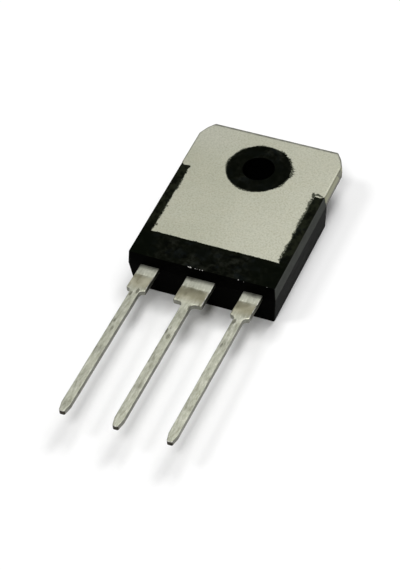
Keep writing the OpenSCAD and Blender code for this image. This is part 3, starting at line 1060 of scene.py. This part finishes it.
def mat_die():
    t = Tree("silicon_face")
    lines = t.nt.nodes.new("ShaderNodeTexWave")
    t.put(lines.inputs["Vector"], t.map())
    lines.inputs["Scale"].default_value = 6.0
    lines.inputs["Distortion"].default_value = 0.0
    n1 = t.noise(t.map(), 3.0, 3)
    base = t.mix(t.math("MULTIPLY", lines.outputs["Fac"], 0.5), (0.10, 0.11, 0.13), (0.30, 0.31, 0.33))
    base = t.mix(t.span(n1, 0.4, 0.7, 0, 0.3), base, (0.16, 0.17, 0.24))
    return t.done(base, t.span(n1, 0.3, 0.7, 0.12, 0.24), t.bump(lines.outputs["Fac"], 0.2, 0.01),
                  metallic=0.6)


def mat_wire():
    t = Tree("bond_aluminium")
    draw = t.noise(t.map(scale=(0.4, 0.4, 1)), 9.0, 4, 0.6)
    base = t.ramp(draw, [(0.3, (0.66, 0.66, 0.67)), (0.7, (0.82, 0.82, 0.83))])
    return t.done(base, t.span(draw, 0.3, 0.7, 0.24, 0.40), t.bump(draw, 0.35, 0.015), metallic=1.0)


def assign(ob, mats, choose):
    ob.data.materials.clear()
    for m in mats:
        ob.data.materials.append(m)
    for f in ob.data.polygons:
        f.material_index = choose(f)


# ------------------------------------------------------------------ camera

cam_data = bpy.data.cameras.new("photo_camera")
cam = bpy.data.objects.new("photo_camera", cam_data)
scene.collection.objects.link(cam)
cam_data.lens = 151.50
cam_data.sensor_width = 36.0
cam_data.sensor_fit = "AUTO"
cam_data.clip_start = 0.001
cam_data.clip_end = 10.0
R = Matrix(((0.91845, -0.24162, 0.31314),
            (0.38988, 0.68630, -0.61399),
            (-0.06656, 0.68601, 0.72454))).to_quaternion().to_matrix().to_4x4()
cam.matrix_world = Matrix.Translation((0.072991, -0.158523, 0.172056)) @ R
scene.camera = cam

# ------------------------------------------------------------------ pieces

EPOXY = [mat_epoxy_top(), mat_epoxy_side(), mat_epoxy_end(), mat_epoxy_front()]
FACE, EDGE, RIM = mat_plating(), mat_plating_edge(), mat_plating_rim()
TIN, SHEAR, BURR_HIGHLIGHT, CUT = mat_tin(), mat_tin_side(), mat_burr_highlight(), mat_cut()

case = make_case()
case = finish_mesh(case)


def case_face(f):
    c = f.center
    # the bore wall takes the near-black end material: painted shade in the hole
    if math.hypot(c.x, c.y) < 1.66 * MM:
        return 2
    if f.normal.z > 0.6 and c.z > 4.6 * MM:
        return 0
    # the end face takes the near-black end material: painted shade
    if f.normal.y < -0.75 and f.center.y < -14.0 * MM:
        return 2
    return 3 if f.normal.z < -0.7 else 1


assign(case, EPOXY, case_face)
case.name = "moulded_case"
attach(case, "root")
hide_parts("moulded_body")

tab = make_frame()
tab = finish_mesh(tab)


def lead_face(f):
    """0 rolled face, 1 sheared side (painted shade), 2 burr or lip (painted highlight), 3 cut end."""
    c, n = f.center, f.normal
    # the lip of the tip takes the bright burr material: painted highlight
    if c.y < -35.1 * MM and n.y < -0.25:
        return 2 if n.z > 0.25 else 3
    # the right top edge of the wide part takes the bright burr material: painted highlight
    if n.x > 0.15 and n.z > 0.30 and -18.3 * MM < c.y < -16.2 * MM:
        return 2
    if abs(n.z) < 0.55 and c.y < -15.0 * MM:
        return 1
    return 0


def tab_face(f):
    c = f.center
    if c.y < -13.2 * MM:
        return (2, 4, 5, 6)[lead_face(f)]
    if c.z > 4.3 * MM and f.normal.z > 0.2:
        # the far rolled edge takes the darker rim material: painted shade
        if f.normal.z < 0.9985 and f.normal.y > 0.05:
            return 3
        return 0 if f.normal.z > 0.45 else 1
    return 1 if c.y > -2.2 * MM else 0


assign(tab, [FACE, EDGE, TIN, RIM, SHEAR, BURR_HIGHLIGHT, CUT], tab_face)
tab.name = "drain_tab_and_lead"
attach(tab, "root")
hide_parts("drain_frame")

for nm, sign, seed, node in (("source_pin", -1, 1, "source_lead"), ("gate_pin", 1, 3, "gate_lead")):
    pin = make_pin(nm, sign, seed)
    pin = finish_mesh(pin)
    assign(pin, [TIN, SHEAR, BURR_HIGHLIGHT, CUT], lead_face)
    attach(pin, "root")
    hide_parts(node)

residue = finish_mesh(make_residue(), dissolve=False)
assign(residue, [mat_flash()], lambda f: 0)
chips = finish_mesh(make_chips(), angle=15, dissolve=False)
assign(chips, [mat_chip()], lambda f: 0)
for ob in (residue, chips):
    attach(ob, "root")

for node, mat in (("die_solder", mat_solder()), ("silicon_die", mat_die())):
    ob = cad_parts[node]
    ob.data.materials.clear()
    ob.data.materials.append(mat)
wire = mat_wire()
for node in ("source_wire_1", "source_wire_2", "source_wire_3", "gate_wire"):
    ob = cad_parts[node]
    ob.data.materials.clear()
    ob.data.materials.append(wire)

# -------------------------------------------------------------- floor, light

s = 3.0
floor = new_obj("floor", [(-s, -s, 0), (s, -s, 0), (s, s, 0), (-s, s, 0)], [(0, 1, 2, 3)])
ft = Tree("pale_floor")
fn = ft.noise(ft.map(scale=(0.02, 0.02, 0.02)), 1.0, 2)
ft.done(ft.ramp(fn, [(0.0, 0.86), (1.0, 0.88)]), 0.9, spec=0.0)
floor.data.materials.append(ft.mat)

world = bpy.data.worlds.new("studio")
scene.world = world
world.use_nodes = True
bg = world.node_tree.nodes["Background"]
bg.inputs[0].default_value = (1.0, 1.0, 1.0, 1.0)
bg.inputs[1].default_value = 0.08


def softbox(name, elevation, azimuth, size, watts):
    """Square soft light one metre off, aimed at the part. Azimuth 0 is from
    the leads, 90 from +X."""
    e, a = math.radians(elevation), math.radians(azimuth)
    v = Vector((math.sin(a) * math.cos(e), -math.cos(a) * math.cos(e), math.sin(e)))
    d = bpy.data.lights.new(name, "AREA")
    d.shape = "SQUARE"
    d.size = size
    d.energy = watts
    o = bpy.data.objects.new(name, d)
    scene.collection.objects.link(o)
    o.location = v + Vector((0, -0.012, 0))
    o.rotation_euler = (-v).to_track_quat("-Z", "Y").to_euler()
    return o


softbox("key", 58, 10, 0.24, 3.12)
softbox("back", 70, 180, 0.50, 4.65)
softbox("rear_right", 60, 150, 0.30, 2.2)
softbox("left", 58, -60, 0.24, 2.25)
softbox("right", 60, 105, 0.30, 0.7)

scene.view_settings.view_transform = "Standard"
scene.view_settings.look = "None"
scene.view_settings.exposure = 0.0
scene.view_settings.gamma = 1.0
